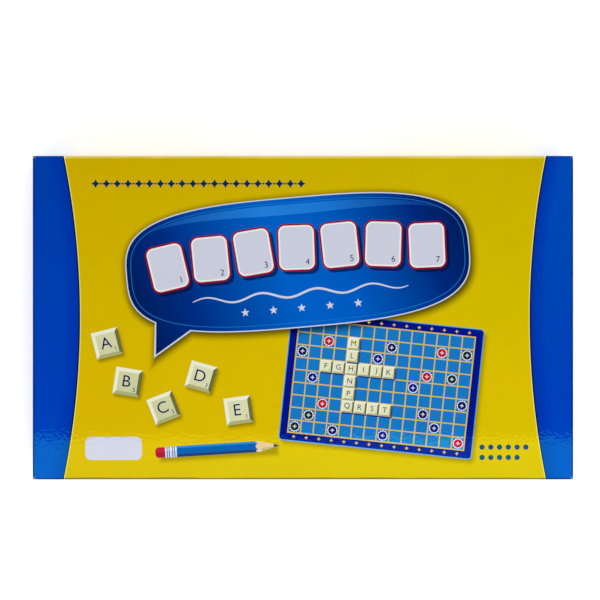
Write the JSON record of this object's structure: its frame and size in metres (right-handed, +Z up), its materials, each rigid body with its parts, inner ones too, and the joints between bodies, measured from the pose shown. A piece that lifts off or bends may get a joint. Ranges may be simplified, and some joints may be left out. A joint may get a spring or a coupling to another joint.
{
  "type": "boxed word board game",
  "caption": "Flat two-piece game box with a lift-off printed lid, card insert, folding squared board, bevelled letter tiles, tile racks with sliding score pointers and a leaflet.",
  "frame": {"origin": "on the table under the middle of the closed box", "axes": "+X along the box, from the left of the lid print to its right; +Y towards the top edge of the lid print, which is the back of the box; +Z up out of the lid"},
  "size_m": [0.42, 0.2516, 0.0449],
  "materials": {
    "lid_print": "gloss",
    "base_print": "satin",
    "greyboard": "matte",
    "stay_paper": "matte",
    "insert_card": "matte",
    "board_core": "matte",
    "board_back_paper": "satin",
    "board_print": "satin",
    "rack_plastic": "gloss",
    "pointer_plastic": "gloss",
    "tile_plastic": "satin",
    "leaflet_paper": "matte"
  },
  "bodies": {
    "base": {"base_board": "greyboard", "base_wrap": "base_print", "base_corner_stays": "stay_paper", "insert_card": "insert_card"},
    "lid": {"lid_board": "greyboard", "lid_wrap": "lid_print", "lid_corner_stays": "stay_paper"},
    "board_lower_half": {"board_core_lower": "board_core", "back_paper_lower": "board_back_paper", "play_sheet_lower": "board_print"},
    "board_upper_half": {"board_core_upper": "board_core", "back_paper_upper": "board_back_paper", "play_sheet_upper": "board_print"},
    "letter_tiles": {"tiles_lower_layer": "tile_plastic", "tiles_upper_layer": "tile_plastic"},
    "leaflet": {"rules_leaflet": "leaflet_paper"},
    "rack_1": {"rack_1": "rack_plastic"},
    "rack_1_hundreds_pointer": {"rack_1_hundreds_pointer": "pointer_plastic"},
    "rack_1_tens_pointer": {"rack_1_tens_pointer": "pointer_plastic"},
    "rack_1_units_pointer": {"rack_1_units_pointer": "pointer_plastic"},
    "rack_2": {"rack_2": "rack_plastic"},
    "rack_2_hundreds_pointer": {"rack_2_hundreds_pointer": "pointer_plastic"},
    "rack_2_tens_pointer": {"rack_2_tens_pointer": "pointer_plastic"},
    "rack_2_units_pointer": {"rack_2_units_pointer": "pointer_plastic"},
    "rack_3": {"rack_3": "rack_plastic"},
    "rack_3_hundreds_pointer": {"rack_3_hundreds_pointer": "pointer_plastic"},
    "rack_3_tens_pointer": {"rack_3_tens_pointer": "pointer_plastic"},
    "rack_3_units_pointer": {"rack_3_units_pointer": "pointer_plastic"},
    "rack_4": {"rack_4": "rack_plastic"},
    "rack_4_hundreds_pointer": {"rack_4_hundreds_pointer": "pointer_plastic"},
    "rack_4_tens_pointer": {"rack_4_tens_pointer": "pointer_plastic"},
    "rack_4_units_pointer": {"rack_4_units_pointer": "pointer_plastic"}
  },
  "joints": [
    {"name": "lid_lift", "type": "slide", "parent": "base", "child": "lid", "axis": [0, 0, 1], "range_m": [0, 0.76]},
    {"name": "board_lift", "type": "slide", "parent": "base", "child": "board_lower_half", "axis": [0, 0, 1], "range_m": [0, 0.12]},
    {"name": "board_unfold", "type": "hinge", "parent": "board_lower_half", "child": "board_upper_half", "pos_m": [0, -0.11975, 0.03583], "axis": [1, 0, 0], "range_deg": [0, 180]},
    {"name": "leaflet_lift", "type": "slide", "parent": "base", "child": "leaflet", "axis": [0, 0, 1], "range_m": [0, 0.09]},
    {"name": "tiles_lift", "type": "slide", "parent": "base", "child": "letter_tiles", "axis": [0, 0, 1], "range_m": [0, 0.035]},
    {"name": "rack_1_lift", "type": "slide", "parent": "base", "child": "rack_1", "axis": [0, 0, 1], "range_m": [0, 0.06]},
    {"name": "rack_1_hundreds_slide", "type": "slide", "parent": "rack_1", "child": "rack_1_hundreds_pointer", "axis": [1, 0, 0], "range_m": [-0.0342, 0.0171]},
    {"name": "rack_1_tens_slide", "type": "slide", "parent": "rack_1", "child": "rack_1_tens_pointer", "axis": [1, 0, 0], "range_m": [-0.0228, 0.0285]},
    {"name": "rack_1_units_slide", "type": "slide", "parent": "rack_1", "child": "rack_1_units_pointer", "axis": [1, 0, 0], "range_m": [-0.0342, 0.0171]},
    {"name": "rack_2_lift", "type": "slide", "parent": "base", "child": "rack_2", "axis": [0, 0, 1], "range_m": [0, 0.06]},
    {"name": "rack_2_hundreds_slide", "type": "slide", "parent": "rack_2", "child": "rack_2_hundreds_pointer", "axis": [1, 0, 0], "range_m": [-0.0228, 0.0285]},
    {"name": "rack_2_tens_slide", "type": "slide", "parent": "rack_2", "child": "rack_2_tens_pointer", "axis": [1, 0, 0], "range_m": [-0.0171, 0.0342]},
    {"name": "rack_2_units_slide", "type": "slide", "parent": "rack_2", "child": "rack_2_units_pointer", "axis": [1, 0, 0], "range_m": [-0.0285, 0.0228]},
    {"name": "rack_3_lift", "type": "slide", "parent": "base", "child": "rack_3", "axis": [0, 0, 1], "range_m": [0, 0.06]},
    {"name": "rack_3_hundreds_slide", "type": "slide", "parent": "rack_3", "child": "rack_3_hundreds_pointer", "axis": [1, 0, 0], "range_m": [-0.0057, 0.0456]},
    {"name": "rack_3_tens_slide", "type": "slide", "parent": "rack_3", "child": "rack_3_tens_pointer", "axis": [1, 0, 0], "range_m": [-0.0399, 0.0114]},
    {"name": "rack_3_units_slide", "type": "slide", "parent": "rack_3", "child": "rack_3_units_pointer", "axis": [1, 0, 0], "range_m": [-0.0114, 0.0399]},
    {"name": "rack_4_lift", "type": "slide", "parent": "base", "child": "rack_4", "axis": [0, 0, 1], "range_m": [0, 0.06]},
    {"name": "rack_4_hundreds_slide", "type": "slide", "parent": "rack_4", "child": "rack_4_hundreds_pointer", "axis": [1, 0, 0], "range_m": [0, 0.0513]},
    {"name": "rack_4_tens_slide", "type": "slide", "parent": "rack_4", "child": "rack_4_tens_pointer", "axis": [1, 0, 0], "range_m": [-0.0285, 0.0228]},
    {"name": "rack_4_units_slide", "type": "slide", "parent": "rack_4", "child": "rack_4_units_pointer", "axis": [1, 0, 0], "range_m": [-0.0456, 0.0057]}
  ],
  "couplings": [
    {"joint": "board_lift", "follows": "lid_lift", "ratio": 0.15788},
    {"joint": "board_unfold", "follows": "lid_lift", "rad_per_m": 4.133},
    {"joint": "leaflet_lift", "follows": "lid_lift", "ratio": 0.11841},
    {"joint": "tiles_lift", "follows": "lid_lift", "ratio": 0.04604},
    {"joint": "rack_1_lift", "follows": "lid_lift", "ratio": 0.07894},
    {"joint": "rack_2_lift", "follows": "lid_lift", "ratio": 0.07894},
    {"joint": "rack_3_lift", "follows": "lid_lift", "ratio": 0.07894},
    {"joint": "rack_4_lift", "follows": "lid_lift", "ratio": 0.07894}
  ]
}
